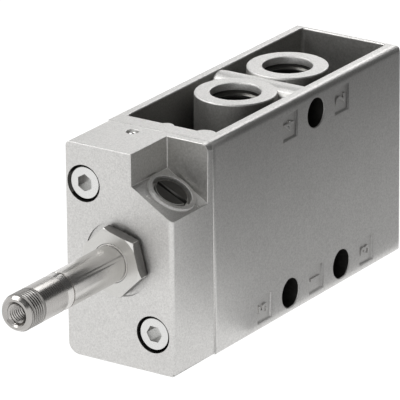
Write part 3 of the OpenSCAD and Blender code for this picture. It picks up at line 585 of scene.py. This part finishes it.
tube_end = -110.025
pole = turned([(tube_end, 3.3), (tube_end, 3.95), (tube_end + 0.25, 4.15), (tube_end + 0.85, 4.55),
               (tube_end + 1.05, 4.2), (-103.8, 4.2), (-103.525, 4.5), (-103.45, 4.72), (-103.3, 4.78),
               (-94.2, 4.78), (-94.145, 4.7), (-94.145, 4.18), (-84.325, 4.18), (-84.325, 1.0),
               (-102.025, 1.0), (-102.025, 2.5), (tube_end + 0.8, 2.5), (tube_end + 0.15, 3.15)])
thread_ridge(pole, (-103.9, 0, axis_z), (-1, 0, 0), 4.15, 4.78, 0.85, 5.1, 0.8, 0.12, 48)
thread_ridge(pole, (-102.6, 0, axis_z), (-1, 0, 0), 2.55, 2.08, 0.8, 6.9, 0.74, 0.12)
# The core's steel is a shade darker than the tube's, with lines 0.2 mm apart.
core_steel = turned_metal("magnetic_stainless_turned", "a3a19e", "c0bdba", 0.22, 0.32, 0.2)
# The valleys of both threads take a darker copy of the core's steel: painted shade.
thread_valleys_painted_shade = turned_metal("magnetic_stainless_painted_shade", "7b7977", "979592", 0.22, 0.32, 0.2)
for face in pole.faces:
    p = face.calc_center_median() / MM
    r = math.dist((p.y, p.z), (0, axis_z))
    if face.material_index == 0 and -109.3 < p.x < -102.7 and (4.1 < r < 4.68 or 2.4 < r < 2.56):
        face.material_index = 2
# The crests of both threads take the tube's lighter steel: a painted highlight.
piece("pole_piece_with_threads", pole, "valve", "stainless_steel", core_steel, stainless_steel,
      thread_valleys_painted_shade, stands_for=["pole_piece"])

# Manual override
# A steel spindle, burnished black, turns in the head. Its slotted, chamfered head lies in
# the recess of the collar, and a pin and an O-ring hold it.
burnished_steel = plated_metal("burnished_steel", "a3a29f", "bbbab7", 0.4, 0.52, 0.4)


def rim_of_disc(p):
    out = on_slope.inverted() @ (p * MM) / MM
    return out.z > 19.5 and math.hypot(out.x, out.y) > 3.8


spindle_mesh = node_mesh("override_spindle")
round_edges(spindle_mesh, 0.25, 2, 35, rim_of_disc)
for face in spindle_mesh.faces:
    out = on_slope.inverted() @ face.calc_center_median() / MM
    # The slot's faces take the dark copy of the casting: painted shade.
    face.material_index = 18.2 < out.z < 19.9 and math.hypot(out.x, out.y) < 4.1
piece("override_slotted_spindle", spindle_mesh, "override", "burnished_steel", burnished_steel, hole_painted_shade,
      stands_for=["override_spindle"])


# Other metal pieces
# The ball is pressed into the signal drilling, the armature slides in the tube, the pin
# holds the override, and the plug and its ring close the rear.
def dress(material, *nodes):
    """Gives CAD nodes whose shape is right their material."""
    for node in nodes:
        for place_for_material in frame["nodes"][node].material_slots:
            place_for_material.material = material


# Hard steel, ground and polished.
dress(plated_metal("polished_steel", "dededc", "ececea", 0.2, 0.28, 0.5), "sealing_ball")
dress(zinc_steel, "override_pin")
dress(core_steel, "armature")
# Free cutting brass, turned: lines 0.12 mm apart.
dress(turned_metal("brass_turned", "c9a452", "dcbb6e", 0.2, 0.32, 0.12), "pilot_seat")
# Wrought aluminium, turned: lines 0.18 mm apart.
machined_aluminium = turned_metal("aluminium_turned", "cfcfd0", "e3e3e4", 0.2, 0.32, 0.18)
dress(machined_aluminium, "spool", "rear_plug")
dress(burnished_steel, "retaining_ring")


# Springs
# Both coils are wound from drawn spring wire. Each stands on a fixed piece and shortens as
# far as the armature or the spool pushes its other end.
spring_wire = plated_metal("spring_wire", "9a9a99", "b4b4b2", 0.28, 0.42, 0.2)
for node, joint, stroke, fixed_end in (("armature_spring", "armature_slide", 1.0, min),
                                       ("return_spring", "spool_slide", 4.0, max)):
    coil = node_mesh(node)
    along = [corner.co.x for corner in coil.verts]
    made = piece(node + "_coil", coil, "valve", "spring_steel", spring_wire, stands_for=[node])
    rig.squash(made, joint, axis=(1, 0, 0), anchor=(fixed_end(along), 0, axis_z * MM),
              keep=1 - stroke * MM / (max(along) - min(along)))


# Plastic and rubber pieces
# Piston, bushes and spacers are moulded in acetal. Seals are nitrile rubber, moulded as
# rings, and the gasket is cut from nitrile sheet. They show only in a section.
def moulded(name, dark, light, low, high, grain_mm, depth_mm):
    """Moulded material: a fine grain that dents it and wanders in tone and gloss."""
    material, tree, shader = new_material(name)
    place = put(tree, "ShaderNodeTexCoord").outputs["Object"]
    grain = put(tree, "ShaderNodeTexNoise", {"Scale": 1000 / grain_mm, "Detail": 3.0}, Vector=place)
    two_tones(tree, shader, grain.outputs["Fac"], dark, light)
    wandering_roughness(tree, shader, grain.outputs["Fac"], low, high)
    dents(tree, shader, grain.outputs["Fac"], depth_mm)
    return material


# White acetal: slightly waxy.
dress(moulded("white_acetal", "dedcd3", "eae8e0", 0.34, 0.46, 0.8, 0.01),
      "pilot_piston", "spacer_rings", "guide_bushes")
# Black nitrile rubber: dull, with a faint bloom.
dress(moulded("nitrile_rubber", "1b1b1b", "262626", 0.5, 0.7, 0.4, 0.02),
      "head_gasket", "tube_seal", "armature_seals", "override_seal", "piston_seal", "spool_seals",
      "plug_seal")


# Floor, backdrop and light
# The valve stands on a white floor inside a low white wall. Both show white to the lens
# and in the metal, and keep a faint shadow. The room above is dim.
def stage_object(name, bm, material):
    mesh = bpy.data.meshes.new(name)
    bm.to_mesh(mesh)
    bm.free()
    mesh.materials.append(material)
    made = bpy.data.objects.new(name, mesh)
    bpy.context.scene.collection.objects.link(made)
    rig.stage(made)
    return made


# Lit white paper: mostly its own white for rays from the lens, from gloss and through
# glass, and matt paper that takes light and shadow for the rest.
paper = bpy.data.materials.new("lit_white_paper")
paper.use_nodes = True
tree = paper.node_tree
tree.nodes.clear()
ray = put(tree, "ShaderNodeLightPath").outputs
seen = put(tree, "ShaderNodeMath", {"operation": "MAXIMUM"})
tree.links.new(seen.inputs[0], ray["Is Camera Ray"])
tree.links.new(seen.inputs[1], ray["Is Glossy Ray"])
seen_too = put(tree, "ShaderNodeMath", {"operation": "MAXIMUM"})
tree.links.new(seen_too.inputs[0], seen.outputs[0])
tree.links.new(seen_too.inputs[1], ray["Is Transmission Ray"])
share = put(tree, "ShaderNodeMath", {"operation": "MULTIPLY", 1: 0.93})
tree.links.new(share.inputs[0], seen_too.outputs[0])
matt = put(tree, "ShaderNodeBsdfDiffuse", {"Color": linear("f8f8f8")})
glow = put(tree, "ShaderNodeEmission", {"Color": (1, 1, 1, 1), "Strength": 1.12})
both = put(tree, "ShaderNodeMixShader", Fac=share.outputs[0])
tree.links.new(both.inputs[1], matt.outputs[0])
tree.links.new(both.inputs[2], glow.outputs[0])
put(tree, "ShaderNodeOutputMaterial", Surface=both.outputs[0])

floor = bmesh.new()
bmesh.ops.create_circle(floor, cap_ends=True, segments=96, radius=4,
                        matrix=Matrix.Translation((0, 0, -0.05 * MM)))
stage_object("floor", floor, paper)
wall = bmesh.new()
bmesh.ops.create_circle(wall, segments=96, radius=4)
rim = bmesh.ops.extrude_edge_only(wall, edges=wall.edges[:])
for corner in [g for g in rim["geom"] if isinstance(g, bmesh.types.BMVert)]:
    low = -75 < math.degrees(math.atan2(corner.co.y, corner.co.x)) < -10
    corner.co.z = 0.9 if low else 2.4
stage_object("low_wall", wall, paper)

# A card that glows dimly, brighter low down, stands by the labelled side with a flap on the
# floor. Only gloss sees it: a painted reflection of shade on that side, the flap standing in
# for the valve's shadow on the floor.
painted_shade_card_glow = bpy.data.materials.new("painted_shade_card")
painted_shade_card_glow.use_nodes = True
tree = painted_shade_card_glow.node_tree
tree.nodes.clear()
height = put(tree, "ShaderNodeSeparateXYZ", Vector=put(tree, "ShaderNodeTexCoord").outputs["Object"])
fade = put(tree, "ShaderNodeMapRange", {"From Min": 0.0, "From Max": 0.06, "To Min": 0.47, "To Max": 0.085},
           Value=height.outputs["Z"])
dim = put(tree, "ShaderNodeEmission", Strength=fade.outputs[0])
put(tree, "ShaderNodeOutputMaterial", Surface=dim.outputs[0])
card = bmesh.new()
for left, right, low in ((-0.045, -0.02, 0.01), (-0.02, 0.3, 0)):
    card.faces.new([card.verts.new(c) for c in
                    ((left, -0.04, low), (right, -0.04, low), (right, -0.04, 0.11), (left, -0.04, 0.11))])
card.faces.new([card.verts.new(c) for c in
                ((-0.03, -0.04, 0.0005), (0.3, -0.04, 0.0005), (0.3, -0.018, 0.0005), (-0.03, -0.018, 0.0005))])
painted_shade_card = stage_object("painted_shade_card", card, painted_shade_card_glow)
for ray_kind in ("camera", "diffuse", "transmission", "volume_scatter", "shadow"):
    setattr(painted_shade_card, "visible_" + ray_kind, False)

world = bpy.data.worlds.new("studio")
bpy.context.scene.world = world
world.use_nodes = True
world.node_tree.nodes["Background"].inputs["Color"].default_value = linear("ffffff")
world.node_tree.nodes["Background"].inputs["Strength"].default_value = 0.08


def soft_light(name, place, power, width, height):
    """An area lamp that faces the valve."""
    data = bpy.data.lights.new(name, "AREA")
    data.shape = "RECTANGLE"
    data.energy, data.size, data.size_y = power, width, height
    lamp = bpy.data.objects.new(name, data)
    bpy.context.scene.collection.objects.link(lamp)
    lamp.location = place
    lamp.rotation_mode = "QUATERNION"
    lamp.rotation_quaternion = (Vector(place) - aim).to_track_quat("Z", "Y")


soft_light("overhead_softbox", (-0.25, 0.68, 1.08), 10, 0.9, 0.7)
soft_light("back_window", (1.03, 0.3, 0.85), 3, 0.5, 0.6)
soft_light("front_fill", (-1.05, -0.1, 0.85), 2.5, 1.1, 1.1)

bpy.context.scene.view_settings.view_transform = "Standard"
visual_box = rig.bounds()
with open("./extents.json", "w") as size_file:
    json.dump({"cad": [list(c) for c in cad_box], "visual": [list(c) for c in visual_box]}, size_file)
